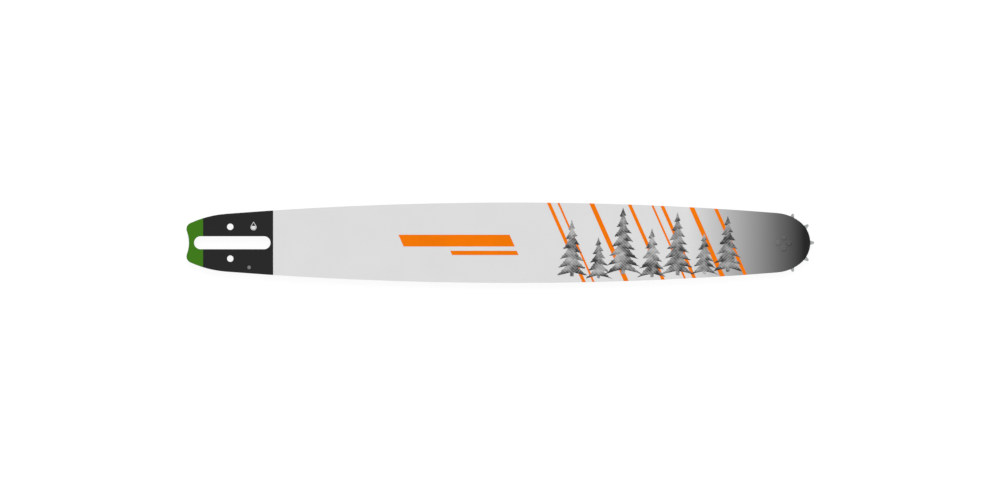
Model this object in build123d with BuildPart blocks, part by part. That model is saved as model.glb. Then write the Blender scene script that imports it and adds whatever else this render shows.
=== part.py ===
"""Chain saw guide bar with a sprocket nose, lying on its rear face.

Millimetres. X runs from the tail to the nose, Y across the bar and Z up out of the front face.
The origin is the centre of the stud slot, on the rear face.
"""

import os
from math import hypot, pi, radians, sin, cos, sqrt, tan

from build123d import *

# Laminations
side_plate_thickness = 1.55
core_thickness = 1.6  # width of the chain groove
groove_depth = 8.5

# Stud slot, tensioner holes and oil inlet
slot_length = 71.6
slot_width = 12.1
tensioner_hole_diameter = 6.0
tensioner_hole_spacing = 29.8
tensioner_hole_offset = -1.9
oil_hole_diameter = 3.5
oil_hole_offset = 15.7
oil_hole_floor_gap = 1.15

# Tail
tail_wall = 4.8  # from the slot to the bottom of the notch
tail_notch_radius = 30.0
tail_corner_radius = 6.2
tail_shoulder_radius = 99.0
tail_shoulder_offset = -6.0
tongue_corner_radius = 2.0
entry_taper_length = 12.0
entry_taper_depth = 0.6

# Rails
mount_width = 55.1  # across the rails at the slot's centre
bar_width = 75.4  # across the rails at the widest point
widest_offset = 265.0
sprocket_offset = 516.45

# Nose and sprocket
chain_pitch = 9.32  # half the length of two links
tooth_count = 10
nose_drop = 4.93  # from the pitch circle down to the edge of the nose
nose_flare = 2.5  # by which the rails pass outside the nose circle
nose_shoulder_radius = 40.0
tooth_tip_drop = 1.3
tooth_tip_width = 1.85
tooth_tip_chamfer = 0.4
tooth_flank_angle = 17.0
tooth_depth = 10.5
sprocket_side_play = 0.05
pocket_play = 1.6
pocket_corner_radius = 1.5

# Roller bearing
race_radius = 8.5
roller_count = 10
roller_diameter = 2.5
roller_play = 0.04
roller_end_play = 0.05
cage_base_thickness = 0.3
cage_play = 0.15
cage_post_play = 0.15

# Rivets
rivet_count = 4
rivet_circle_radius = 5.15
rivet_diameter = 4.3
rivet_play = 0.03

# Windows in the core and their fillers
window_count = 3
window_rib = 12.0
window_corner_radius = 5.0
weld_land = 9.0
window_clearance_tail = 24.0
window_clearance_nose = 20.0
filler_play = 0.1

# Heights of the laminations
core_bottom = side_plate_thickness
core_top = core_bottom + core_thickness
bar_thickness = core_top + side_plate_thickness

# Circles of the sprocket, the nose and the bearing
pitch_radius = chain_pitch / (2 * sin(pi / (2 * tooth_count)))
nose_radius = pitch_radius - nose_drop
tooth_tip_radius = pitch_radius - tooth_tip_drop
tooth_root_radius = tooth_tip_radius - tooth_depth
pocket_radius = tooth_tip_radius + pocket_play
roller_radius = roller_diameter / 2
roller_circle_radius = race_radius + roller_play + roller_radius
bore_radius = race_radius + roller_diameter + 2 * roller_play
rivet_hole_radius = rivet_diameter / 2 + rivet_play

# Circles of the outline, all of them for the upper rail
widest_point = Vector(widest_offset, bar_width / 2)
nose_center = Vector(sprocket_offset, 0)
notch_bottom = -slot_length / 2 - tail_wall
notch_center = Vector(notch_bottom - tail_notch_radius, 0)


def crown_radius(point):
    """Radius of the arc through a point that is level at the bar's widest point."""
    run = point.X - widest_point.X
    drop = widest_point.Y - point.Y
    return (run**2 + drop**2) / (2 * drop)


rear_rail_radius = crown_radius(Vector(0, mount_width / 2))
front_rail_radius = crown_radius(Vector(sprocket_offset, nose_radius + nose_flare))
rear_rail_center = widest_point - Vector(0, rear_rail_radius)
front_rail_center = widest_point - Vector(0, front_rail_radius)


def rail_height(x):
    """Half width of the bar at x, along the rails."""
    if x < widest_offset:
        return rear_rail_center.Y + sqrt(rear_rail_radius**2 - (x - widest_offset) ** 2)
    return front_rail_center.Y + sqrt(front_rail_radius**2 - (x - widest_offset) ** 2)


def upper_crossing(center_a, radius_a, center_b, radius_b):
    """Upper one of the two points where two circles cross."""
    gap = center_b - center_a
    along = (radius_a**2 - radius_b**2 + gap.length**2) / (2 * gap.length)
    across = sqrt(radius_a**2 - along**2)
    middle = center_a + gap.normalized() * along
    side = Vector(-gap.Y, gap.X).normalized() * across
    return max(middle + side, middle - side, key=lambda point: point.Y)


def on_circle(center, radius, toward):
    """Point of a circle on the ray from its centre through another point."""
    return center + (toward - center).normalized() * radius


shoulder_start = Vector(tail_shoulder_offset, rail_height(tail_shoulder_offset))
tail_shoulder_center = on_circle(shoulder_start, tail_shoulder_radius, rear_rail_center)
nose_shoulder_center = upper_crossing(
    nose_center,
    nose_shoulder_radius - nose_radius,
    front_rail_center,
    front_rail_radius - nose_shoulder_radius,
)


def bar_profile(inset, corner_radius):
    """Face of the bar's outline, with the rails and the nose set in and the tail notch left."""
    corner_center = upper_crossing(
        tail_shoulder_center,
        tail_shoulder_radius - inset - corner_radius,
        notch_center,
        tail_notch_radius + corner_radius,
    )
    notch_end = on_circle(notch_center, tail_notch_radius, corner_center)
    corner_end = on_circle(corner_center, -corner_radius, tail_shoulder_center)
    shoulder_end = on_circle(rear_rail_center, rear_rail_radius - inset, shoulder_start)
    rail_top = widest_point - Vector(0, inset)
    rail_end = on_circle(front_rail_center, front_rail_radius - inset, nose_shoulder_center)
    nose_start = on_circle(nose_center, inset - nose_radius, nose_shoulder_center)
    with BuildSketch() as profile:
        with BuildLine():
            RadiusArc((notch_bottom, 0), notch_end, -tail_notch_radius)
            RadiusArc(notch_end, corner_end, corner_radius)
            RadiusArc(corner_end, shoulder_end, tail_shoulder_radius - inset)
            RadiusArc(shoulder_end, rail_top, rear_rail_radius - inset)
            RadiusArc(rail_top, rail_end, front_rail_radius - inset)
            RadiusArc(rail_end, nose_start, nose_shoulder_radius - inset)
            RadiusArc(nose_start, nose_center + Vector(nose_radius - inset, 0), nose_radius - inset)
            mirror(about=Plane.XZ)
        make_face()
    return profile.sketch


def window_profile(start, end, play):
    """Face of one window of the core, between two ribs and parallel to the rails."""
    inset = groove_depth + weld_land + play
    left = start + play
    right = end - play
    middle = (left + right) / 2
    top_left = Vector(left, rail_height(left) - inset)
    top_middle = Vector(middle, rail_height(middle) - inset)
    top_right = Vector(right, rail_height(right) - inset)
    with BuildSketch() as profile:
        with BuildLine():
            ThreePointArc(top_left, top_middle, top_right)
            Line(top_right, (right, -top_right.Y))
            ThreePointArc((right, -top_right.Y), (middle, -top_middle.Y), (left, -top_left.Y))
            Line((left, -top_left.Y), top_left)
        make_face()
        fillet(profile.vertices(), window_corner_radius - play)
    return profile.sketch


windows_start = slot_length / 2 + window_clearance_tail
windows_end = sprocket_offset - pocket_radius - window_clearance_nose
window_pitch = (windows_end - windows_start + window_rib) / window_count
window_spans = []
for index in range(window_count):
    window_start = windows_start + index * window_pitch
    window_spans.append((window_start, window_start + window_pitch - window_rib))

os.makedirs("parts", exist_ok=True)

# Core plate: the groove floor runs parallel to the rails, the tongue reaches the tail notch
with BuildPart() as core_plate:
    with BuildSketch(Plane.XY.offset(core_bottom)) as core_face:
        add(bar_profile(groove_depth, tongue_corner_radius))
        with Locations((sprocket_offset, 0)):
            Circle(pocket_radius, mode=Mode.SUBTRACT)
        fillet(core_face.vertices().sort_by(Axis.X)[-2:], pocket_corner_radius)
        SlotOverall(slot_length, slot_width, mode=Mode.SUBTRACT)
        with Locations((tensioner_hole_offset, 0)):
            with GridLocations(0, tensioner_hole_spacing, 1, 2):
                Circle(tensioner_hole_diameter / 2, mode=Mode.SUBTRACT)
        for window_start, window_end in window_spans:
            add(window_profile(window_start, window_end, 0), mode=Mode.SUBTRACT)
    extrude(amount=core_thickness)
core_plate.part.label = "core_plate"
export_step(core_plate.part, "parts/core_plate.step")

# Entry taper: opens the groove at the tail, where the chain runs in, and stays clear of the core
tail_end = notch_bottom - tail_corner_radius
with BuildPart() as entry_taper:
    with BuildSketch(Plane.XZ):
        with BuildLine():
            Polyline(
                (tail_end, core_top),
                (tail_end + entry_taper_length, core_top),
                (tail_end, core_top + entry_taper_depth),
                close=True,
            )
        make_face()
    extrude(amount=bar_width, both=True)
    with BuildSketch(Plane.XY.offset(core_top)):
        add(bar_profile(groove_depth, tongue_corner_radius))
    extrude(amount=side_plate_thickness, mode=Mode.SUBTRACT)

# Front side plate: the full outline, its oil inlet opening into the groove of the lower rail
oil_floor = rail_height(oil_hole_offset) - groove_depth
oil_hole_height = oil_floor + oil_hole_floor_gap + oil_hole_diameter / 2
with BuildPart() as front_side_plate:
    with BuildSketch(Plane.XY.offset(core_top)):
        add(bar_profile(0, tail_corner_radius))
        SlotOverall(slot_length, slot_width, mode=Mode.SUBTRACT)
        with Locations((tensioner_hole_offset, 0)):
            with GridLocations(0, tensioner_hole_spacing, 1, 2):
                Circle(tensioner_hole_diameter / 2, mode=Mode.SUBTRACT)
        with Locations((oil_hole_offset, -oil_hole_height)):
            Circle(oil_hole_diameter / 2, mode=Mode.SUBTRACT)
        with Locations((sprocket_offset, 0)):
            with PolarLocations(rivet_circle_radius, rivet_count):
                Circle(rivet_hole_radius, mode=Mode.SUBTRACT)
    extrude(amount=side_plate_thickness)
    add(entry_taper.part, mode=Mode.SUBTRACT)
front_side_plate.part.label = "front_side_plate"
export_step(front_side_plate.part, "parts/front_side_plate.step")

# Rear side plate: the same plate turned over about the bar's long axis
with BuildPart() as rear_side_plate:
    with Locations((0, 0, bar_thickness)):
        add(front_side_plate.part, rotation=(180, 0, 0))
rear_side_plate.part.label = "rear_side_plate"
export_step(rear_side_plate.part, "parts/rear_side_plate.step")

# Fillers in the windows of the core
for index, (window_start, window_end) in enumerate(window_spans, 1):
    with BuildPart() as core_filler:
        with BuildSketch(Plane.XY.offset(core_bottom)):
            add(window_profile(window_start, window_end, filler_play))
        extrude(amount=core_thickness)
    core_filler.part.label = f"core_filler_{index}"
    export_step(core_filler.part, f"parts/core_filler_{index}.step")

# Nose sprocket: straight flanks that run tangent into a round gullet between two teeth
flank_slope = tan(radians(tooth_flank_angle))
flank_foot = tooth_tip_width / 2 + tooth_tip_radius * flank_slope
half_step = pi / tooth_count
gullet_reach = sin(half_step) + flank_slope * cos(half_step)
flank_length = hypot(1, flank_slope)
gullet_radius = (tooth_root_radius * gullet_reach - flank_foot) / (flank_length - gullet_reach)
gullet_distance = tooth_root_radius + gullet_radius
wall_angle = half_step + radians(tooth_flank_angle)
wall_x = gullet_distance - gullet_radius * sin(wall_angle)
wall_y = gullet_radius * cos(wall_angle)
mouth_x = tooth_tip_radius + tooth_tip_width
mouth_y = wall_y + (mouth_x - wall_x) * tan(wall_angle)
sprocket_bottom = core_bottom + sprocket_side_play
sprocket_thickness = core_thickness - 2 * sprocket_side_play
with BuildSketch() as gullet:
    with BuildLine():
        ThreePointArc((wall_x, -wall_y), (tooth_root_radius, 0), (wall_x, wall_y))
        Polyline((wall_x, wall_y), (mouth_x, mouth_y), (mouth_x, -mouth_y), (wall_x, -wall_y))
    make_face()
with BuildPart() as nose_sprocket:
    with BuildSketch() as sprocket_face:
        Circle(tooth_tip_radius)
        with PolarLocations(0, tooth_count, start_angle=180 / tooth_count):
            add(gullet.sketch, mode=Mode.SUBTRACT)
        tip_corners = sprocket_face.vertices().filter_by(
            lambda vertex: hypot(vertex.X, vertex.Y) > tooth_tip_radius - tooth_tip_chamfer
        )
        chamfer(tip_corners, tooth_tip_chamfer)
        Circle(bore_radius, mode=Mode.SUBTRACT)
    extrude(amount=sprocket_thickness)
nose_sprocket.part.label = "nose_sprocket"
nose_sprocket.part.locate(Location((sprocket_offset, 0, sprocket_bottom)))
export_step(nose_sprocket.part, "parts/nose_sprocket.step")

# Bearing race: a disc clamped between the side plates
with BuildPart() as bearing_race:
    with BuildSketch(Plane.XY.offset(core_bottom)):
        with Locations((sprocket_offset, 0)):
            Circle(race_radius)
            with PolarLocations(rivet_circle_radius, rivet_count):
                Circle(rivet_hole_radius, mode=Mode.SUBTRACT)
    extrude(amount=core_thickness)
bearing_race.part.label = "bearing_race"
export_step(bearing_race.part, "parts/bearing_race.step")

# Roller cage: a flat ring with a straight post between each two rollers
cage_bottom = core_bottom + roller_end_play
cage_floor = cage_bottom + cage_base_thickness
cage_top = core_top - roller_end_play
cage_inner_radius = race_radius + cage_play
cage_outer_radius = bore_radius - cage_play
roller_gap = 2 * roller_circle_radius * sin(pi / roller_count) - roller_diameter
post_width = roller_gap - 2 * cage_post_play
post_outer_side = sqrt(cage_outer_radius**2 - (post_width / 2) ** 2)
post_depth = post_outer_side - cage_inner_radius
with BuildPart() as roller_cage:
    with BuildSketch(Plane.XY.offset(cage_bottom)):
        with Locations((sprocket_offset, 0)):
            Circle(cage_outer_radius)
            Circle(cage_inner_radius, mode=Mode.SUBTRACT)
    extrude(amount=cage_base_thickness)
    with BuildSketch(Plane.XY.offset(cage_floor)):
        with Locations((sprocket_offset, 0)):
            with PolarLocations(cage_inner_radius + post_depth / 2, roller_count, 180 / roller_count):
                Rectangle(post_depth, post_width)
    extrude(amount=cage_top - cage_floor)
roller_cage.part.label = "roller_cage"
export_step(roller_cage.part, "parts/roller_cage.step")

# Rollers, standing on the cage's ring between the race and the bore of the sprocket
roller_bottom = cage_floor + roller_end_play
roller_length = cage_top - roller_bottom
for index in range(roller_count):
    with BuildPart() as bearing_roller:
        with BuildSketch(Plane.XY.offset(roller_bottom)):
            with Locations((sprocket_offset, 0)):
                with PolarLocations(roller_circle_radius, 1, start_angle=index * 360 / roller_count):
                    Circle(roller_radius)
        extrude(amount=roller_length)
    bearing_roller.part.label = f"bearing_roller_{index + 1:02d}"
    export_step(bearing_roller.part, f"parts/bearing_roller_{index + 1:02d}.step")

# Rivets: straight pins, peened level with the outer faces
with BuildPart() as nose_rivets:
    with BuildSketch():
        with Locations((sprocket_offset, 0)):
            with PolarLocations(rivet_circle_radius, rivet_count):
                Circle(rivet_diameter / 2)
    extrude(amount=bar_thickness)
nose_rivets.part.label = "nose_rivets"
export_step(nose_rivets.part, "parts/nose_rivets.step")
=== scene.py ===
"""Finish of a chain saw guide bar with a sprocket nose, dressed on its packed CAD frame.

Metres. X runs from the tail to the nose, Y across the bar and Z up out of the front face.
"""

from math import pi, radians, tan
from typing import NamedTuple

import bmesh
import bpy
import numpy as np
from bpy.props import FloatProperty, FloatVectorProperty, PointerProperty
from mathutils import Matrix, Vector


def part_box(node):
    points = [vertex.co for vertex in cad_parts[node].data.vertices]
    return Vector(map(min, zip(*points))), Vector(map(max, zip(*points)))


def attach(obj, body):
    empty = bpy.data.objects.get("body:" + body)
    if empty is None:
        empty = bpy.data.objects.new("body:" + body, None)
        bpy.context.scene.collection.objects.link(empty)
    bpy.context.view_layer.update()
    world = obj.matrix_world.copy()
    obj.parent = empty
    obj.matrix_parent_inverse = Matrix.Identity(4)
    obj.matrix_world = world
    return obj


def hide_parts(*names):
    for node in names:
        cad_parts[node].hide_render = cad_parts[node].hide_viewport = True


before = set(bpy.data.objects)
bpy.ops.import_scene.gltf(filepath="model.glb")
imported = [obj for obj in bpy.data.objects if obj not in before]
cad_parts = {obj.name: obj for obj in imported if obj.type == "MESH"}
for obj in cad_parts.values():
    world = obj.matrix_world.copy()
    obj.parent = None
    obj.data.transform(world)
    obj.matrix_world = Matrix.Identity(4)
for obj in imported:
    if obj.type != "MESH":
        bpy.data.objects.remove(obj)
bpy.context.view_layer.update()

bl_info = {
    "name": "Guide Bar Finish",
    "version": (1, 0, 0),
    "blender": (4, 5, 0),
    "location": "3D View > Sidebar > Guide Bar",
    "description": "Paints, prints, rivets and stages a chain saw guide bar on its CAD frame",
    "category": "Object",
}

MM = 0.001
BAR_BODY = "bar"
SIDES = ("front", "rear")
BAR_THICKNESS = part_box("front_side_plate")[1].z
CORE_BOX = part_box("core_plate")
RIVET_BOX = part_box("nose_rivets")
RIVET_COUNT = 4

# Cut lines: where each crosses the middle of the bar, and its width
CUT_LINES = MM * np.array(
    [(313, 3.4), (322, 2.0), (353, 4.6), (388, 3.4), (409, 2.0), (418, 3.4), (445, 4.6), (467, 3.4)]
)
# Firs: foot along and across the bar, height and width
FIRS = MM * np.array(
    [
        (318, -31, 52, 31),
        (343, -33, 38, 25),
        (366, -29, 62, 35),
        (393, -32, 45, 28),
        (417, -30, 58, 33),
        (442, -29, 38, 25),
        (464, -27, 52, 30),
    ]
)
FIR_PHASE = 1.7  # shift of the needles from one fir to the next, in radians
# Stripes: left end, middle across the bar and height. Their right ends lie on one slanted line
STRIPES = MM * np.array([(158, 2, 11), (205, -9.5, 4)])
STRIPES_END = 263 * MM
SIGN_CENTRE = MM * np.array((19.9, 14.45))
SIGN_LEVEL = 0.65  # height that the oil sign's fill reaches over its centre, as a share of its radius

MIX_A, MIX_B, MIX_RESULT = 6, 7, 2  # colour sockets of a Mix node
BLEND_A, BLEND_B = 2, 3  # number sockets of a Mix node
NOISE_LOW, NOISE_HIGH = 0.3, 0.7  # nearly all of a noise texture lies between these


def linear(hex_colour):
    """Scene-linear red, green and blue of an sRGB hex colour."""
    srgb = np.array([int(hex_colour[place:place + 2], 16) for place in (0, 2, 4)]) / 255
    bent = ((srgb + 0.055) / 1.055) ** 2.4
    return tuple(np.where(srgb <= 0.04045, srgb / 12.92, bent).tolist())


def colour_property(name, description, hex_colour):
    """Colour setting whose default is an sRGB hex value."""
    return FloatVectorProperty(
        name=name,
        description=description,
        subtype="COLOR",
        size=3,
        min=0,
        max=1,
        default=linear(hex_colour),
    )


def length_property(name, description, millimetres):
    """Length setting whose default is given in millimetres."""
    return FloatProperty(
        name=name, description=description, unit="LENGTH", precision=5, default=millimetres * MM
    )


def angle_property(name, description, degrees):
    """Angle setting whose default is given in degrees."""
    return FloatProperty(name=name, description=description, subtype="ANGLE", default=radians(degrees))


def strength_property(name, description, strength):
    """Brightness setting, a plain number."""
    return FloatProperty(name=name, description=description, min=0, default=strength)


class GuideBarPaint(bpy.types.PropertyGroup):
    """Enamel on the side plates and the rivets."""

    tail_colour: colour_property("Tail", "Enamel on the tail", "387500")
    mount_colour: colour_property("Mount", "Enamel round the stud slot", "1C1C1C")
    body_colour: colour_property("Body", "Enamel along the body", "DBDBDB")
    shade_colour: colour_property("Shade", "Enamel at the middle of the fade", "646464")
    nose_colour: colour_property("Nose", "Enamel that the body fades into", "171717")
    tail_edge: length_property("Tail Edge", "Where the tail colour ends", -27.4)
    mount_edge: length_property("Mount Edge", "Where the mount colour ends", 38.24)
    fade_start: length_property("Fade Start", "Where the body starts to darken", 426.3)
    fade_middle: length_property("Fade Middle", "Where the shade colour is full", 511.5)
    fade_end: length_property("Fade End", "Where the nose colour is full", 535.8)
    edge_blur: length_property("Edge Blur", "Half the soft width of a masked edge", 0.08)
    coat: length_property("Coat", "How far the enamel reaches down the edges of a plate", 0.03)
    rivet_coat: length_property("Rivet Coat", "How far the enamel reaches down a rivet", 0.6)
    # Painted highlight: lightens the enamel on the rivets, standing in for the light that their heads
    # catch
    rivet_painted_highlight: strength_property("Rivet Paleness", "Brightness of the coat on the rivets", 1.07)


class GuideBarPrint(bpy.types.PropertyGroup):
    """Screen print on both faces."""

    flash_colour: colour_property("Flash", "Ink of the stripes and the cut lines", "F07600")
    brush_dark: colour_property("Brush Dark", "Brush ink where it pooled", "3A3A3A")
    brush_light: colour_property("Brush Light", "Brush ink where it ran thin", "BEBEBE")
    sign_colour: colour_property("Sign", "Ink of the oil sign", "DEDEDE")
    film: length_property("Film", "Height of one pass of ink", 0.025)
    line_lean: angle_property("Line Lean", "Lean of the cut lines and of the stripes' ends", -24)
    line_inset: length_property("Line Inset", "Gap from the ends of a cut line to the rail", 0.05)
    tier_height: length_property("Tier Height", "Height that each tier of a fir takes up", 8.4)
    sign_height: length_property("Sign Height", "Height of the oil sign", 8.1)
    sign_width: length_property("Sign Width", "Width of the oil sign", 5.6)
    sign_line: length_property("Sign Line", "Width of the oil sign's outline", 0.47)
    sign_gap: length_property("Sign Gap", "Gap between the outline and the fill of the oil sign", 0.3)


class GuideBarRivets(bpy.types.PropertyGroup):
    """Rivets of the nose."""

    diameter: length_property("Diameter", "Across a rivet's shank", 4.3)
    head_diameter: length_property("Head Diameter", "Across a peened head", 4.9)
    crown: length_property("Crown", "Rise of a head over the front face", 0.42)
    dish: length_property("Dish", "Depth of the hollow in a head", 0.06)
    seat: length_property("Seat", "Depth of a head's foot under the front face", 0.05)
    rear_dome: length_property("Rear Dome", "Depth of the domed rear end", 0.14)
    rear_bevel: length_property("Rear Bevel", "Width of the bevel round the rear end", 0.1)


class GuideBarStage(bpy.types.PropertyGroup):
    """Camera, floor and light."""

    floor_colour: colour_property("Floor", "Colour of the floor", "606060")
    floor_glow: strength_property("Floor Glow", "Light given off by the floor", 0.91)
    floor_size: length_property("Floor Size", "Length of the floor's sides", 12000)
    floor_drop: length_property("Floor Drop", "Depth of the floor under the rear face", 0.1)
    zenith: strength_property("Zenith", "Light from straight above", 0.25)
    horizon: strength_property("Horizon", "Light from the horizon all round", 0.72)
    key: strength_property("Key", "Light over the upper rail", 3.15)
    key_tilt: angle_property("Key Tilt", "Tilt of the light over the upper rail", -60)
    fill: strength_property("Fill", "Light over the lower rail", 0.5)
    fill_tilt: angle_property("Fill Tilt", "Tilt of the light over the lower rail", 48)
    fill_turn: angle_property("Fill Turn", "Turn of the light over the lower rail", -35)
    sheen: strength_property("Sheen", "Gloss from straight above", 0.28)
    softness: angle_property("Softness", "Angle that each light covers", 40)
    view_width: length_property("View Width", "Width of the picture", 936.5)
    view_x: length_property("View X", "Middle of the picture along the bar", 250.7)
    view_y: length_property("View Y", "Middle of the picture across the bar", -6.8)
    view_height: length_property("View Height", "Height of the camera over the rear face", 1500)


def add_node(tree, kind, values=None, links=None, **settings):
    """Add one shader node with its settings, its socket values and the links into it."""
    made = tree.nodes.new(kind)
    for name, setting in settings.items():
        setattr(made, name, setting)
    for socket, value in (values or {}).items():
        made.inputs[socket].default_value = value
    for socket, output in (links or {}).items():
        tree.links.new(output, made.inputs[socket])
    return made


def start_material(name):
    """New material, with its node tree, its shader and the Object coordinates that its patterns read."""
    material = bpy.data.materials.new(name)
    material.use_nodes = True
    tree = material.node_tree
    tree.nodes.clear()
    shader = add_node(tree, "ShaderNodeBsdfPrincipled")
    add_node(tree, "ShaderNodeOutputMaterial", links={"Surface": shader.outputs["BSDF"]})
    coordinates = add_node(tree, "ShaderNodeTexCoord")
    return material, tree, shader, coordinates.outputs["Object"]


def clouds(tree, place, size, depth, detail=2, highlight_gain=1):
    """Brightness in soft clouds of the given size: 1 - depth to 1 + depth, times a painted highlight gain.
    """
    noise = add_node(tree, "ShaderNodeTexNoise", {"Scale": 1 / size, "Detail": detail}, {"Vector": place})
    brightness = add_node(
        tree,
        "ShaderNodeMapRange",
        {
            "From Min": NOISE_LOW,
            "From Max": NOISE_HIGH,
            "To Min": (1 - depth) * highlight_gain,
            "To Max": (1 + depth) * highlight_gain,
        },
        {"Value": noise.outputs["Fac"]},
    )
    return brightness.outputs["Result"]


def drawn_out_grain(tree, place, sizes, detail, roughness=0.5):
    """Noise drawn out to a grain of the given sizes along X, Y and Z."""
    stretch = add_node(
        tree, "ShaderNodeMapping", {"Scale": tuple(1 / size for size in sizes)}, {"Vector": place}
    )
    noise = add_node(
        tree,
        "ShaderNodeTexNoise",
        {"Scale": 1, "Detail": detail, "Roughness": roughness},
        {"Vector": stretch.outputs["Vector"]},
    )
    return noise.outputs["Fac"]


def masked_bands(tree, along, paint):
    """Colour along the bar: each band starts at a masked edge, or fades in, over the band before it."""
    blur = paint.edge_blur
    bands = (
        (paint.tail_edge - blur, paint.tail_edge + blur, paint.mount_colour),
        (paint.mount_edge - blur, paint.mount_edge + blur, paint.body_colour),
        (paint.fade_start, paint.fade_middle, paint.shade_colour),
        (paint.fade_middle, paint.fade_end, paint.nose_colour),
    )
    band_before = {}
    for start, end, colour in bands:
        step = add_node(
            tree, "ShaderNodeMapRange", {"From Min": start, "From Max": end}, {"Value": along}
        )
        band = add_node(
            tree,
            "ShaderNodeMix",
            {MIX_A: (*paint.tail_colour, 1), MIX_B: (*colour, 1)},
            {"Factor": step.outputs["Result"], **band_before},
            data_type="RGBA",
        )
        band_before = {MIX_A: band.outputs[MIX_RESULT]}
    return band.outputs[MIX_RESULT]


def bare_plate_steel(tree, place, off_middle):
    """Steel of the plates where no enamel lies: ground and streaked on the edges, oily along the core.

    off_middle is the distance from the middle of the bar's thickness. Returns the colour, the roughness
    and the grinding lines, which the relief follows.
    """
    line_size = (30 * MM, 0.4 * MM, 0.25 * MM)  # long in X, and drawn coarse so that they show
    sharp_roughness, blunt_roughness, oiled_roughness = 0.14, 0.3, 0.45
    oil_reach = 0.02 * MM
    lines = drawn_out_grain(tree, place, line_size, detail=2)
    ground = add_node(
        tree,
        "ShaderNodeMix",
        {MIX_A: (*linear("6E7174"), 1), MIX_B: (*linear("CACCCE"), 1)},
        {"Factor": lines},
        data_type="RGBA",
    )
    ground_roughness = add_node(
        tree,
        "ShaderNodeMapRange",
        {"To Min": sharp_roughness, "To Max": blunt_roughness},
        {"Value": lines},
    )
    oiled = add_node(
        tree,
        "ShaderNodeMath",
        {1: (CORE_BOX[1].z - CORE_BOX[0].z) / 2 + oil_reach},
        {0: off_middle},
        operation="LESS_THAN",
    )
    colour = add_node(
        tree,
        "ShaderNodeMix",
        {MIX_B: (*linear("AAACAE"), 1)},
        {"Factor": oiled.outputs["Value"], MIX_A: ground.outputs[MIX_RESULT]},
        data_type="RGBA",
    )
    roughness = add_node(
        tree,
        "ShaderNodeMix",
        {BLEND_B: oiled_roughness},
        {"Factor": oiled.outputs["Value"], BLEND_A: ground_roughness.outputs["Result"]},
    )
    return colour.outputs[MIX_RESULT], roughness.outputs["Result"], lines


def stoving_enamel(name, paint, coat, highlight_gain=1):
    """Stoved enamel, sprayed in masked bands over ground steel.

    The eye gets flat satin colour with faint clouds and a fine orange peel. The enamel covers what lies
    within coat of either face, and below that the steel is bare. A gain over 1 lightens the colour
    as a painted highlight.
    """
    cloud_size, cloud_depth = 40 * MM, 0.012
    peel_size, peel_height, peel_strength = 1.4 * MM, 0.02 * MM, 0.35
    enamel_roughness = 0.48
    material, tree, shader, place = start_material(name)
    axes = add_node(tree, "ShaderNodeSeparateXYZ", links={"Vector": place})
    enamel = add_node(
        tree,
        "ShaderNodeMix",
        {"Factor": 1},
        {
            MIX_A: masked_bands(tree, axes.outputs["X"], paint),
            MIX_B: clouds(tree, place, cloud_size, cloud_depth, detail=3, highlight_gain=highlight_gain),
        },
        data_type="RGBA",
        blend_type="MULTIPLY",
    )

    # The enamel lies where the distance from the middle of the thickness is nearly half of it
    level = add_node(
        tree, "ShaderNodeMath", {1: BAR_THICKNESS / 2}, {0: axes.outputs["Z"]}, operation="SUBTRACT"
    )
    off_middle = add_node(tree, "ShaderNodeMath", links={0: level.outputs["Value"]}, operation="ABSOLUTE")
    painted = add_node(
        tree,
        "ShaderNodeMath",
        {1: BAR_THICKNESS / 2 - coat},
        {0: off_middle.outputs["Value"]},
        operation="GREATER_THAN",
    )
    steel, steel_roughness, grinding_lines = bare_plate_steel(tree, place, off_middle.outputs["Value"])
    base = add_node(
        tree,
        "ShaderNodeMix",
        links={"Factor": painted.outputs["Value"], MIX_A: steel, MIX_B: enamel.outputs[MIX_RESULT]},
        data_type="RGBA",
    )
    metal = add_node(
        tree, "ShaderNodeMath", {0: 1}, {1: painted.outputs["Value"]}, operation="SUBTRACT"
    )
    roughness = add_node(
        tree,
        "ShaderNodeMix",
        {BLEND_B: enamel_roughness},
        {"Factor": painted.outputs["Value"], BLEND_A: steel_roughness},
    )
    peel = add_node(tree, "ShaderNodeTexNoise", {"Scale": 1 / peel_size, "Detail": 1}, {"Vector": place})
    relief = add_node(
        tree,
        "ShaderNodeMix",
        links={"Factor": painted.outputs["Value"], BLEND_A: grinding_lines, BLEND_B: peel.outputs["Fac"]},
    )
    bump = add_node(
        tree,
        "ShaderNodeBump",
        {"Strength": peel_strength, "Distance": peel_height},
        {"Height": relief.outputs["Result"]},
    )
    shader.inputs["Specular IOR Level"].default_value = 0.25
    tree.links.new(base.outputs[MIX_RESULT], shader.inputs["Base Color"])
    tree.links.new(metal.outputs["Value"], shader.inputs["Metallic"])
    tree.links.new(roughness.outputs["Result"], shader.inputs["Roughness"])
    tree.links.new(bump.outputs["Normal"], shader.inputs["Normal"])
    return material


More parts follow.
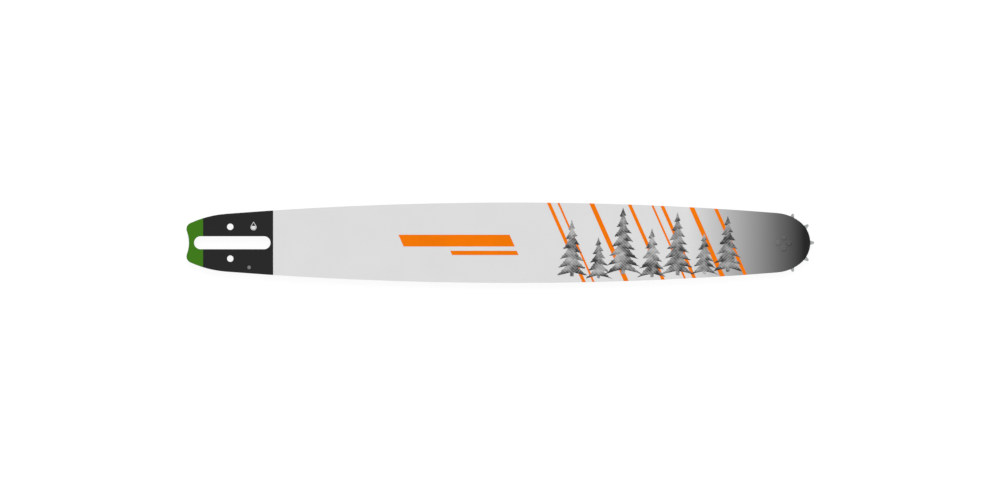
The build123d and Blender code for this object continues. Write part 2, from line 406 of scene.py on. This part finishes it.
def worked_surface(name, tones, grain_size, roughness, relief, metallic=1):
    """One-coloured material whose tone, gloss and relief follow the same grain.

    tones and roughness go from the low to the high places of the grain, grain_size is its size along X,
    Y and Z, and relief its height.
    """
    material, tree, shader, place = start_material(name)
    dark, light = tones
    grain = drawn_out_grain(tree, place, grain_size, detail=3, roughness=0.6)
    tone = add_node(
        tree, "ShaderNodeMapRange", {"From Min": NOISE_LOW, "From Max": NOISE_HIGH}, {"Value": grain}
    )
    base = add_node(
        tree,
        "ShaderNodeMix",
        {MIX_A: (*linear(dark), 1), MIX_B: (*linear(light), 1)},
        {"Factor": tone.outputs["Result"]},
        data_type="RGBA",
    )
    gloss = add_node(
        tree,
        "ShaderNodeMapRange",
        {"To Min": roughness[0], "To Max": roughness[1]},
        {"Value": tone.outputs["Result"]},
    )
    bump = add_node(tree, "ShaderNodeBump", {"Strength": 0.5, "Distance": relief}, {"Height": grain})
    shader.inputs["Metallic"].default_value = metallic
    tree.links.new(base.outputs[MIX_RESULT], shader.inputs["Base Color"])
    tree.links.new(gloss.outputs["Result"], shader.inputs["Roughness"])
    tree.links.new(bump.outputs["Normal"], shader.inputs["Normal"])
    return material


def oiled_strip_steel():
    """Cold-rolled strip with an oil film: dull grey, rolling lines along the bar."""
    return worked_surface(
        "oiled_strip_steel",
        tones=("6E7072", "9A9C9E"),
        grain_size=(12 * MM, 0.5 * MM, 0.3 * MM),
        roughness=(0.3, 0.5),
        relief=0.01 * MM,
    )


def tumbled_hardened_steel():
    """Hardened steel from the tumbler: pale, evenly pitted, soft sheen."""
    return worked_surface(
        "tumbled_hardened_steel",
        tones=("CCD2D0", "E8ECEB"),
        grain_size=(0.7 * MM, 0.7 * MM, 0.7 * MM),
        roughness=(0.46, 0.6),
        relief=0.02 * MM,
    )


def lapped_bearing_steel():
    """Lapped bearing steel: bright, close to a mirror, hardly any grain."""
    return worked_surface(
        "lapped_bearing_steel",
        tones=("C8CACC", "DEE0E2"),
        grain_size=(0.4 * MM, 0.4 * MM, 2 * MM),
        roughness=(0.12, 0.2),
        relief=0.002 * MM,
    )


def stamped_cage_steel():
    """Stamped sheet steel: mid grey with blanking streaks."""
    return worked_surface(
        "stamped_cage_steel",
        tones=("8E9092", "B4B6B8"),
        grain_size=(1.5 * MM, 0.4 * MM, 0.4 * MM),
        roughness=(0.3, 0.45),
        relief=0.006 * MM,
    )


def glass_filled_polyamide():
    """Moulded polyamide with glass fibre: near black, matt, with paler flow lines along the bar."""
    return worked_surface(
        "glass_filled_polyamide",
        tones=("161718", "2A2B2D"),
        grain_size=(9 * MM, 1.6 * MM, 1.6 * MM),
        roughness=(0.5, 0.7),
        relief=0.015 * MM,
        metallic=0,
    )


def screen_ink(name, colour):
    """Screen-printed ink: opaque flat colour, duller than the enamel, with a faint mark of the mesh."""
    cover_size, cover_depth = 18 * MM, 0.03
    mesh_size, mesh_height, mesh_strength = 0.8 * MM, 0.01 * MM, 0.3  # drawn coarse so that it shows
    glossy, matt = 0.42, 0.58
    material, tree, shader, place = start_material(name)
    base = add_node(
        tree,
        "ShaderNodeMix",
        {"Factor": 1, MIX_A: (*colour, 1)},
        {MIX_B: clouds(tree, place, cover_size, cover_depth)},
        data_type="RGBA",
        blend_type="MULTIPLY",
    )
    mesh_mark = add_node(
        tree, "ShaderNodeTexNoise", {"Scale": 1 / mesh_size, "Detail": 2}, {"Vector": place}
    )
    gloss = add_node(
        tree,
        "ShaderNodeMapRange",
        {"To Min": glossy, "To Max": matt},
        {"Value": mesh_mark.outputs["Fac"]},
    )
    bump = add_node(
        tree,
        "ShaderNodeBump",
        {"Strength": mesh_strength, "Distance": mesh_height},
        {"Height": mesh_mark.outputs["Fac"]},
    )
    shader.inputs["Specular IOR Level"].default_value = 0.06
    tree.links.new(base.outputs[MIX_RESULT], shader.inputs["Base Color"])
    tree.links.new(gloss.outputs["Result"], shader.inputs["Roughness"])
    tree.links.new(bump.outputs["Normal"], shader.inputs["Normal"])
    return material


def hatching(tree, place):
    """Fine diagonal lines, from -1 to 1: sin(2 pi (x + y) / gap) or sin(2 pi (x - y) / gap).

    A coarse weave chooses between the two. The gap is measured along X, so the lines are 2 mm apart.
    """
    gap = 2.9 * MM
    weave_size = 26 * MM
    choice_low, choice_high = 0.45, 0.55
    waves = []
    for direction in ((1, 1, 0), (1, -1, 0)):
        run = add_node(tree, "ShaderNodeVectorMath", {1: direction}, {0: place}, operation="DOT_PRODUCT")
        turn = add_node(
            tree, "ShaderNodeMath", {1: 2 * pi / gap}, {0: run.outputs["Value"]}, operation="MULTIPLY"
        )
        wave = add_node(tree, "ShaderNodeMath", links={0: turn.outputs["Value"]}, operation="SINE")
        waves.append(wave.outputs["Value"])
    weave = add_node(
        tree, "ShaderNodeTexNoise", {"Scale": 1 / weave_size, "Detail": 1}, {"Vector": place}
    )
    choice = add_node(
        tree,
        "ShaderNodeMapRange",
        {"From Min": choice_low, "From Max": choice_high},
        {"Value": weave.outputs["Fac"]},
    )
    hatch = add_node(
        tree,
        "ShaderNodeMix",
        links={"Factor": choice.outputs["Result"], BLEND_A: waves[0], BLEND_B: waves[1]},
    )
    return hatch.outputs["Result"]


def brush_ink(name, dark, light):
    """Thin grey brush ink, hatched by the weave it was rubbed through.

    The eye gets pools of dark and pale wash some 11 mm across, fine diagonal lines that change direction,
    and a dark rim where the wash dried at the lower edge of a stroke.
    """
    pool_size, pool_low, pool_high = 11 * MM, 0.32, 0.68
    hatch_depth, rim_depth = 0.14, 0.5
    glossy, matt = 0.45, 0.62
    material, tree, shader, place = start_material(name)
    wash = add_node(
        tree,
        "ShaderNodeTexNoise",
        {"Scale": 1 / pool_size, "Detail": 3, "Roughness": 0.55},
        {"Vector": place},
    )
    pool = add_node(
        tree,
        "ShaderNodeMapRange",
        {"From Min": pool_low, "From Max": pool_high},
        {"Value": wash.outputs["Fac"]},
    )
    lined = add_node(
        tree,
        "ShaderNodeMath",
        {1: hatch_depth},
        {0: hatching(tree, place), 2: pool.outputs["Result"]},
        operation="MULTIPLY_ADD",
    )
    rim = add_node(tree, "ShaderNodeAttribute", attribute_name="rim")
    tone = add_node(
        tree,
        "ShaderNodeMath",
        {1: -rim_depth},
        {0: rim.outputs["Fac"], 2: lined.outputs["Value"]},
        operation="MULTIPLY_ADD",
        use_clamp=True,
    )
    base = add_node(
        tree,
        "ShaderNodeMix",
        {MIX_A: (*dark, 1), MIX_B: (*light, 1)},
        {"Factor": tone.outputs["Value"]},
        data_type="RGBA",
    )
    gloss = add_node(
        tree, "ShaderNodeMapRange", {"To Min": glossy, "To Max": matt}, {"Value": tone.outputs["Value"]}
    )
    shader.inputs["Specular IOR Level"].default_value = 0.15
    tree.links.new(base.outputs[MIX_RESULT], shader.inputs["Base Color"])
    tree.links.new(gloss.outputs["Result"], shader.inputs["Roughness"])
    return material


def pale_floor(stage):
    """Lit sheet of matt paper under the bar: even pale colour with hardly any clouds."""
    cloud_size, cloud_depth = 60 * MM, 0.004
    material, tree, shader, place = start_material("pale_floor_sheet")
    base = add_node(
        tree,
        "ShaderNodeMix",
        {"Factor": 1, MIX_A: (*stage.floor_colour, 1)},
        {MIX_B: clouds(tree, place, cloud_size, cloud_depth)},
        data_type="RGBA",
        blend_type="MULTIPLY",
    )
    tree.links.new(base.outputs[MIX_RESULT], shader.inputs["Base Color"])
    shader.inputs["Roughness"].default_value = 0.9
    shader.inputs["Emission Color"].default_value = (1, 1, 1, 1)
    shader.inputs["Emission Strength"].default_value = stage.floor_glow
    return material


def rail_line():
    """Edge of the front face along the upper rail, from the mount to the nose, in order of X."""
    least_x, least_y = 40 * MM, 20 * MM
    slack = 0.01 * MM
    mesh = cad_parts["front_side_plate"].data
    points = np.empty(len(mesh.vertices) * 3)
    mesh.vertices.foreach_get("co", points)
    x, y, z = points.reshape(-1, 3).T
    on_rail = (x > least_x) & (y > least_y) & (z > BAR_THICKNESS - slack)
    return np.unique([x[on_rail], y[on_rail]], axis=1)


RAIL_X, RAIL_Y = rail_line()


class Solid(NamedTuple):
    """Closed surface of a new piece."""

    points: np.ndarray
    faces: list  # arrays of faces, and the faces in one array have the same number of corners
    rim: np.ndarray  # for each point, how near it is to an edge where ink dries dark, from 0 to 1


def film(plan, ink, passes=1, closed=False, rim=None):
    """Closed slab of ink, where plan[i, j] is point j across the film at step i along it, seen from above.

    Each cross section runs from the foot of the left edge over the top to the foot of the right edge. Its
    feet lie one pass of ink under the front face, and its top the given passes over that face.
    """
    rim = np.zeros(plan.shape[:2]) if rim is None else rim
    outline = np.pad(plan, ((0, 0), (1, 1), (0, 0)), mode="edge")
    height = np.full(outline.shape[:2], BAR_THICKNESS + passes * ink)
    height[:, [0, -1]] = BAR_THICKNESS - ink
    points = np.dstack([outline, height])
    index = np.arange(height.size).reshape(height.shape)
    ahead = np.roll(index, -1, axis=0)
    quads = np.stack([index, np.roll(index, -1, axis=1), np.roll(ahead, -1, axis=1), ahead], axis=2)
    if closed:
        faces = [quads.reshape(-1, 4)]
    else:
        faces = [quads[:-1].reshape(-1, 4), np.stack([index[0, ::-1], index[-1]])]
    return Solid(points.reshape(-1, 3), faces, np.pad(rim, ((0, 0), (1, 1)), mode="edge").ravel())


def turned(profile, centre, count):
    """Turned solid: x = cx + r cos(a), y = cy + r sin(a) and z = h, for the points (r, h) of a profile.

    The profile starts and ends on the axis, in a pole, and a goes once round in count steps.
    """
    angle = np.linspace(0, 2 * pi, count, endpoint=False)[:, None]
    radius, height = profile[1:-1].T
    x = centre[0] + radius * np.cos(angle)
    y = centre[1] + radius * np.sin(angle)
    wall = np.stack([x, y, np.broadcast_to(height, x.shape)], axis=2).reshape(-1, 3)
    poles = np.array([[*centre, profile[0, 1]], [*centre, profile[-1, 1]]])
    index = np.arange(len(wall)).reshape(x.shape)
    ahead = np.roll(index, -1, axis=0)
    quads = np.stack([index[:, :-1], ahead[:, :-1], ahead[:, 1:], index[:, 1:]], axis=2).reshape(-1, 4)
    first_pole = np.full(count, len(wall))
    first_fan = np.stack([index[:, 0], first_pole, ahead[:, 0]], axis=1)
    last_fan = np.stack([ahead[:, -1], first_pole + 1, index[:, -1]], axis=1)
    return Solid(np.concatenate([wall, poles]), [quads, first_fan, last_fan], np.zeros(len(wall) + 2))


def add_piece(name, solids, material, side="front"):
    """Join solids into one piece that rides on the bar.

    On the rear side they are turned over about the long axis: y becomes -y, and z the thickness less z.
    """
    points = np.concatenate([solid.points for solid in solids])
    if side == "rear":
        points = points * (1, -1, -1) + (0, 0, BAR_THICKNESS)
    faces = []
    start = 0
    for solid in solids:
        for alike in solid.faces:
            faces += (alike + start).tolist()
        start += len(solid.points)
    mesh = bpy.data.meshes.new(name)
    mesh.from_pydata(points, [], faces)
    shell = bmesh.new()
    shell.from_mesh(mesh)
    bmesh.ops.recalc_face_normals(shell, faces=shell.faces)
    shell.to_mesh(mesh)
    shell.free()
    rim = mesh.attributes.new("rim", "FLOAT", "POINT")
    rim.data.foreach_set("value", np.concatenate([solid.rim for solid in solids]))
    mesh.materials.append(material)
    piece = bpy.data.objects.new(name, mesh)
    bpy.context.scene.collection.objects.link(piece)
    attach(piece, BAR_BODY)
    return piece


def print_on_both_faces(name, solids, material):
    """The same print on both faces, which the bar needs because it is turned over in use."""
    for side in SIDES:
        add_piece(f"{name}_{side}", solids, material, side)


def dress_node(node, material):
    """Give a CAD node its finish."""
    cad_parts[node].material_slots[0].material = material


def rivet_profile(sizes):
    """Radius and height along a rivet, from the middle of its rear end to the middle of its front head.

    With s from 0 on the axis to 1 at the edge, the rear end is a low dome, z = dome s^2, with a bevel that
    rises as much again. The head is z = T + crown (1 - s^30) - dish (1 - s^2)^2 on a bar of thickness T:
    nearly flat, with a round edge and a shallow hollow.
    """
    steps = 17
    edge_power = 30
    radius = sizes.diameter / 2
    share = np.sin(np.linspace(0, pi / 2, steps))[:, None]
    rear_end = np.hstack([(radius - sizes.rear_bevel) * share, sizes.rear_dome * share**2])
    shank = [(radius, 2 * sizes.rear_dome), (radius, BAR_THICKNESS - sizes.seat)]
    rise = sizes.crown * (1 - share**edge_power) - sizes.dish * (1 - share**2) ** 2
    head = np.hstack([sizes.head_diameter / 2 * share, BAR_THICKNESS + rise])
    return np.vstack([rear_end, shank, head[::-1]])


def cut_line(middle, width, lean, inset):
    """Slanted strip from rail to rail: x = middle + w width / 2 + lean y, for w from -1 to 1.

    y runs between the two rails, whose height at that x is found by repeated substitution.
    """
    steps, count, substitutions = 9, 3, 6
    foot = middle + np.linspace(-1, 1, count) * width / 2
    lower = np.zeros(count)
    upper = np.zeros(count)
    for _ in range(substitutions):
        lower = inset - np.interp(foot + lean * lower, RAIL_X, RAIL_Y)
        upper = np.interp(foot + lean * upper, RAIL_X, RAIL_Y) - inset
    share = np.linspace(0, 1, steps)[:, None]
    y = lower + (upper - lower) * share
    return np.stack([foot + lean * y, y], axis=2)


def fir_side(share, tiers, phase):
    """Half width of one side of a fir, about 1 at its widest, and how low in its tier each height lies.

    With u from 0 over the trunk to 1 at the top, the side is a cone, tip + (1 - tip) (1 - u)^taper, which
    a saw tooth cuts into tiers: in the lip of each tier it jumps out from pinch to 1, and from there it
    draws in to pinch again. A coarse and a fine cosine ripple it with needles.
    """
    trunk, trunk_width = 0.07, 0.11
    tip, taper = 0.03, 0.9
    lip, pinch, sweep, crowding = 0.1, 0.4, 0.8, 0.92
    coarse, coarse_turn = 0.06, 27
    fine, fine_turn = 0.04, 43
    rise = np.clip((share - trunk) / (1 - trunk), 0, 1)
    cone = tip + (1 - tip) * (1 - rise) ** taper
    place = tiers * rise**crowding % 1
    draw_in = np.clip((place - lip) / (1 - lip), 0, 1)
    tooth = np.where(place < lip, pinch + (1 - pinch) * place / lip, 1 - (1 - pinch) * draw_in**sweep)
    run = tiers * rise
    needles = 1 + coarse * np.cos(coarse_turn * run + phase) + fine * np.cos(fine_turn * run - phase)
    on_trunk = share < trunk
    return np.where(on_trunk, trunk_width, cone * tooth * needles), np.where(on_trunk, 0, 1 - draw_in)


def fir_tree(foot, height, width, tiers, phase):
    """Brushed fir in plan, with s from 0 at the foot to 1 at the top and w from -1 to 1 across it.

    x = w h(s) W / 2 and y = s H - droop |x|^bend / (W / 2)^(bend - 1) + needle cos(x / gap + phase), where
    h is the half width of the left or the right side, which has one tier more. Returns the plan and its
    rim, sqrt(|w|) l^3, where l is how low in its tier a point lies.
    """
    steps_per_tier, count = 22, 15
    droop, bend = 0.3, 1.4
    needle, gap = 0.3 * MM, 0.7 * MM
    right_phase = phase + 2
    share = np.linspace(0, 1, steps_per_tier * tiers)[:, None]
    across = np.linspace(-1, 1, count)
    left, left_low = fir_side(share, tiers, phase)
    right, right_low = fir_side(share, tiers + 1, right_phase)
    on_left = across < 0
    x = across * np.where(on_left, left, right) * width / 2
    hang = droop * np.abs(x) ** bend / (width / 2) ** (bend - 1)
    y = share * height - hang + needle * np.cos(x / gap + phase)
    rim = np.sqrt(np.abs(across)) * np.where(on_left, left_low, right_low) ** 3
    return np.stack([foot[0] + x, foot[1] + y], axis=2), rim


def stripe(left, right, middle, height, slant):
    """Level stripe with slanted ends: x = left or right + slant (y - middle)."""
    y = middle + np.array([[-0.5, 0.5]]) * height
    x = np.array([[left], [right]]) + slant * (y - middle)
    return np.stack([x, np.broadcast_to(y, x.shape)], axis=2)


def drop_outline(width, height, line):
    """Outline of a drop: a strip of the given line width round a circle of radius a and its two tangents.

    At height h over the circle's centre the half width is sqrt(a^2 - h^2) up to the tangents' feet at
    a sin(q), and (d - h) tan(q) from there to the tip at d, where sin(q) = a / d.
    """
    steps, count = 96, 3
    radius = width / 2
    tip = height - radius
    slope = np.arcsin(radius / tip)
    angle = np.linspace(0, 2 * pi, steps, endpoint=False)[:, None]
    level = height / 2 * (np.cos(angle) + 1) - radius
    round_part = np.sqrt(np.maximum(radius**2 - level**2, 0))
    half_width = np.where(level < radius * np.sin(slope), round_part, (tip - level) * np.tan(slope))
    size = np.linspace(1 - line / radius, 1, count)
    return np.stack([size * half_width * np.sign(np.sin(angle)), size * level], axis=2)


def drop_fill(radius, level):
    """Part of a disc below a level: x = w R sin(t) and y = R cos(t), for w from -1 to 1.

    t starts where cos(t) is the level and ends just short of the lowest point, in a short flat.
    """
    steps, count = 24, 5
    last_angle = 0.97 * pi
    angle = np.linspace(np.arccos(level), last_angle, steps)[:, None]
    x = np.linspace(-1, 1, count) * radius * np.sin(angle)
    return np.stack([x, np.broadcast_to(radius * np.cos(angle), x.shape)], axis=2)


def lay_floor(scene, stage):
    """Square sheet just under the print on the rear face."""
    corners = np.array([(-1, -1, 0), (1, -1, 0), (1, 1, 0), (-1, 1, 0)]) * stage.floor_size / 2
    sheet = bpy.data.meshes.new("floor")
    sheet.from_pydata(corners - (0, 0, stage.floor_drop), [], [(0, 1, 2, 3)])
    sheet.materials.append(pale_floor(stage))
    floor = bpy.data.objects.new("floor", sheet)
    scene.collection.objects.link(floor)


def light_dome(scene, stage):
    """White studio all round, brighter towards the horizon than overhead."""
    world = bpy.data.worlds.new("studio")
    world.use_nodes = True
    tree = world.node_tree
    direction = add_node(tree, "ShaderNodeTexCoord")
    axes = add_node(tree, "ShaderNodeSeparateXYZ", links={"Vector": direction.outputs["Generated"]})
    dome = add_node(
        tree,
        "ShaderNodeMapRange",
        {"To Min": stage.horizon, "To Max": stage.zenith},
        {"Value": axes.outputs["Z"]},
    )
    background = tree.nodes["Background"]
    background.inputs["Color"].default_value = (1, 1, 1, 1)
    tree.links.new(dome.outputs["Result"], background.inputs["Strength"])
    scene.world = world


def hang_lights(scene, stage):
    """Three soft lights: two only shade the bar and one only gives it gloss, so no view is washed out."""
    lights = (
        ("key_light", stage.key, stage.key_tilt, 0, False),
        ("fill_light", stage.fill, stage.fill_tilt, stage.fill_turn, False),
        ("sheen_light", stage.sheen, 0, 0, True),
    )
    for name, strength, tilt, turn, glossy in lights:
        lamp = bpy.data.lights.new(name, "SUN")
        lamp.energy = strength
        lamp.angle = stage.softness
        light = bpy.data.objects.new(name, lamp)
        light.rotation_euler = (tilt, 0, turn)
        light.visible_diffuse = not glossy
        light.visible_glossy = glossy
        scene.collection.objects.link(light)


def set_camera(scene, stage):
    """Camera that looks straight down on the front face, without perspective."""
    lens = bpy.data.cameras.new("camera")
    lens.type = "ORTHO"
    lens.ortho_scale = stage.view_width
    camera = bpy.data.objects.new("camera", lens)
    camera.location = (stage.view_x, stage.view_y, stage.view_height)
    scene.collection.objects.link(camera)
    scene.camera = camera


class GUIDE_BAR_OT_paint_plates(bpy.types.Operator):
    """Enamel both side plates"""

    bl_idname = "guide_bar.paint_plates"
    bl_label = "Paint Plates"

    def execute(self, context):
        paint = context.scene.guide_bar_paint
        material = stoving_enamel("stoving_enamel", paint, paint.coat)
        for side in SIDES:
            dress_node(f"{side}_side_plate", material)
        return {"FINISHED"}


class GUIDE_BAR_OT_finish_core(bpy.types.Operator):
    """Finish the core plate and the fillers in its windows"""

    bl_idname = "guide_bar.finish_core"
    bl_label = "Finish Core"

    def execute(self, context):
        dress_node("core_plate", oiled_strip_steel())
        polyamide = glass_filled_polyamide()
        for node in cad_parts:
            if node.startswith("core_filler"):
                dress_node(node, polyamide)
        return {"FINISHED"}


class GUIDE_BAR_OT_finish_nose(bpy.types.Operator):
    """Finish the nose sprocket and its roller bearing"""

    bl_idname = "guide_bar.finish_nose"
    bl_label = "Finish Nose"

    def execute(self, context):
        dress_node("nose_sprocket", tumbled_hardened_steel())
        dress_node("roller_cage", stamped_cage_steel())
        bearing_steel = lapped_bearing_steel()
        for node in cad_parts:
            if node.startswith("bearing_"):
                dress_node(node, bearing_steel)
        return {"FINISHED"}


class GUIDE_BAR_OT_set_rivets(bpy.types.Operator):
    """Set the domed rivets of the nose"""

    bl_idname = "guide_bar.set_rivets"
    bl_label = "Set Rivets"

    def execute(self, context):
        paint = context.scene.guide_bar_paint
        sizes = context.scene.guide_bar_rivets
        round_steps = 48
        sharp_angle = radians(35)
        low, high = RIVET_BOX
        middle = (low + high) / 2
        circle = (high.x - low.x - sizes.diameter) / 2
        turn = np.arange(RIVET_COUNT) * 2 * pi / RIVET_COUNT
        centres = np.stack([middle.x + circle * np.cos(turn), middle.y + circle * np.sin(turn)], axis=1)
        profile = rivet_profile(sizes)
        solids = [turned(profile, centre, round_steps) for centre in centres]
        # The rivets' enamel is lightened as a painted highlight on their heads
        material = stoving_enamel(
            "stoving_enamel_on_rivets", paint, paint.rivet_coat, paint.rivet_painted_highlight
        )
        rivets = add_piece("domed_rivets", solids, material)
        rivets.data.shade_smooth()
        rivets.data.set_sharp_from_angle(angle=sharp_angle)
        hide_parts("nose_rivets")
        return {"FINISHED"}


class GUIDE_BAR_OT_print_lines(bpy.types.Operator):
    """Print the slanted cut lines in front of the nose"""

    bl_idname = "guide_bar.print_lines"
    bl_label = "Print Cut Lines"

    def execute(self, context):
        inks = context.scene.guide_bar_print
        lean = tan(inks.line_lean)
        lines = [
            film(cut_line(middle, width, lean, inks.line_inset), inks.film) for middle, width in CUT_LINES
        ]
        print_on_both_faces("cut_lines", lines, screen_ink("screen_ink_lines", inks.flash_colour))
        return {"FINISHED"}


class GUIDE_BAR_OT_print_firs(bpy.types.Operator):
    """Print the row of brushed firs in front of the nose"""

    bl_idname = "guide_bar.print_firs"
    bl_label = "Print Firs"

    def execute(self, context):
        inks = context.scene.guide_bar_print
        # A fir covers a cut line. Every other one lies lower, so that branches which meet share no surface
        passes = (3, 2)
        firs = []
        for order, (x, y, height, width) in enumerate(FIRS):
            tiers = round(height / inks.tier_height)
            plan, rim = fir_tree((x, y), height, width, tiers, FIR_PHASE * order)
            firs.append(film(plan, inks.film, passes[order % 2], rim=rim))
        ink = brush_ink("rubbed_brush_ink", inks.brush_dark, inks.brush_light)
        print_on_both_faces("brushed_firs", firs, ink)
        return {"FINISHED"}


class GUIDE_BAR_OT_print_flash(bpy.types.Operator):
    """Print the stepped stripes on the body"""

    bl_idname = "guide_bar.print_flash"
    bl_label = "Print Flash"

    def execute(self, context):
        inks = context.scene.guide_bar_print
        slant = tan(inks.line_lean)
        stripes = [
            film(stripe(left, STRIPES_END + slant * middle, middle, height, slant), inks.film)
            for left, middle, height in STRIPES
        ]
        print_on_both_faces("flash_stripes", stripes, screen_ink("screen_ink_stripes", inks.flash_colour))
        return {"FINISHED"}


class GUIDE_BAR_OT_print_sign(bpy.types.Operator):
    """Print the plain drop, the common sign for oil, on the mount"""

    bl_idname = "guide_bar.print_sign"
    bl_label = "Print Oil Sign"

    def execute(self, context):
        inks = context.scene.guide_bar_print
        outline = drop_outline(inks.sign_width, inks.sign_height, inks.sign_line) + SIGN_CENTRE
        fill_radius = inks.sign_width / 2 - inks.sign_line - inks.sign_gap
        fill = drop_fill(fill_radius, SIGN_LEVEL) + SIGN_CENTRE
        solids = [film(outline, inks.film, closed=True), film(fill, inks.film)]
        print_on_both_faces("oil_sign", solids, screen_ink("screen_ink_sign", inks.sign_colour))
        return {"FINISHED"}


class GUIDE_BAR_OT_set_stage(bpy.types.Operator):
    """Lay the floor, hang the lights and set the camera over the bar"""

    bl_idname = "guide_bar.set_stage"
    bl_label = "Set Stage"

    def execute(self, context):
        scene = context.scene
        stage = scene.guide_bar_stage
        scene.view_settings.view_transform = "Standard"
        lay_floor(scene, stage)
        light_dome(scene, stage)
        hang_lights(scene, stage)
        set_camera(scene, stage)
        return {"FINISHED"}


OPERATORS = (
    GUIDE_BAR_OT_paint_plates,
    GUIDE_BAR_OT_finish_core,
    GUIDE_BAR_OT_finish_nose,
    GUIDE_BAR_OT_set_rivets,
    GUIDE_BAR_OT_print_lines,
    GUIDE_BAR_OT_print_firs,
    GUIDE_BAR_OT_print_flash,
    GUIDE_BAR_OT_print_sign,
    GUIDE_BAR_OT_set_stage,
)
SETTINGS = {
    "guide_bar_paint": GuideBarPaint,
    "guide_bar_print": GuideBarPrint,
    "guide_bar_rivets": GuideBarRivets,
    "guide_bar_stage": GuideBarStage,
}


class GUIDE_BAR_PT_finish(bpy.types.Panel):
    """Settings and steps of the guide bar's finish"""

    bl_idname = "GUIDE_BAR_PT_finish"
    bl_label = "Guide Bar"
    bl_space_type = "VIEW_3D"
    bl_region_type = "UI"
    bl_category = "Guide Bar"

    def draw(self, context):
        for key, group in SETTINGS.items():
            box = self.layout.box()
            box.label(text=group.__doc__)
            settings = getattr(context.scene, key)
            for name in group.__annotations__:
                box.prop(settings, name)
        for operator in OPERATORS:
            self.layout.operator(operator.bl_idname)


def register():
    """Register the classes and hang the settings on the scene."""
    for group in SETTINGS.values():
        bpy.utils.register_class(group)
    for operator in OPERATORS:
        bpy.utils.register_class(operator)
    bpy.utils.register_class(GUIDE_BAR_PT_finish)
    for key, group in SETTINGS.items():
        setattr(bpy.types.Scene, key, PointerProperty(type=group))


def unregister():
    """Take the settings off the scene and unregister the classes."""
    for key in SETTINGS:
        delattr(bpy.types.Scene, key)
    bpy.utils.unregister_class(GUIDE_BAR_PT_finish)
    for operator in reversed(OPERATORS):
        bpy.utils.unregister_class(operator)
    for group in reversed(SETTINGS.values()):
        bpy.utils.unregister_class(group)


def main():
    """Dress and stage the bar."""
    register()
    bpy.ops.guide_bar.paint_plates()
    bpy.ops.guide_bar.finish_core()
    bpy.ops.guide_bar.finish_nose()
    bpy.ops.guide_bar.set_rivets()
    bpy.ops.guide_bar.print_lines()
    bpy.ops.guide_bar.print_firs()
    bpy.ops.guide_bar.print_flash()
    bpy.ops.guide_bar.print_sign()
    bpy.ops.guide_bar.set_stage()


if __name__ == "__main__":
    main()
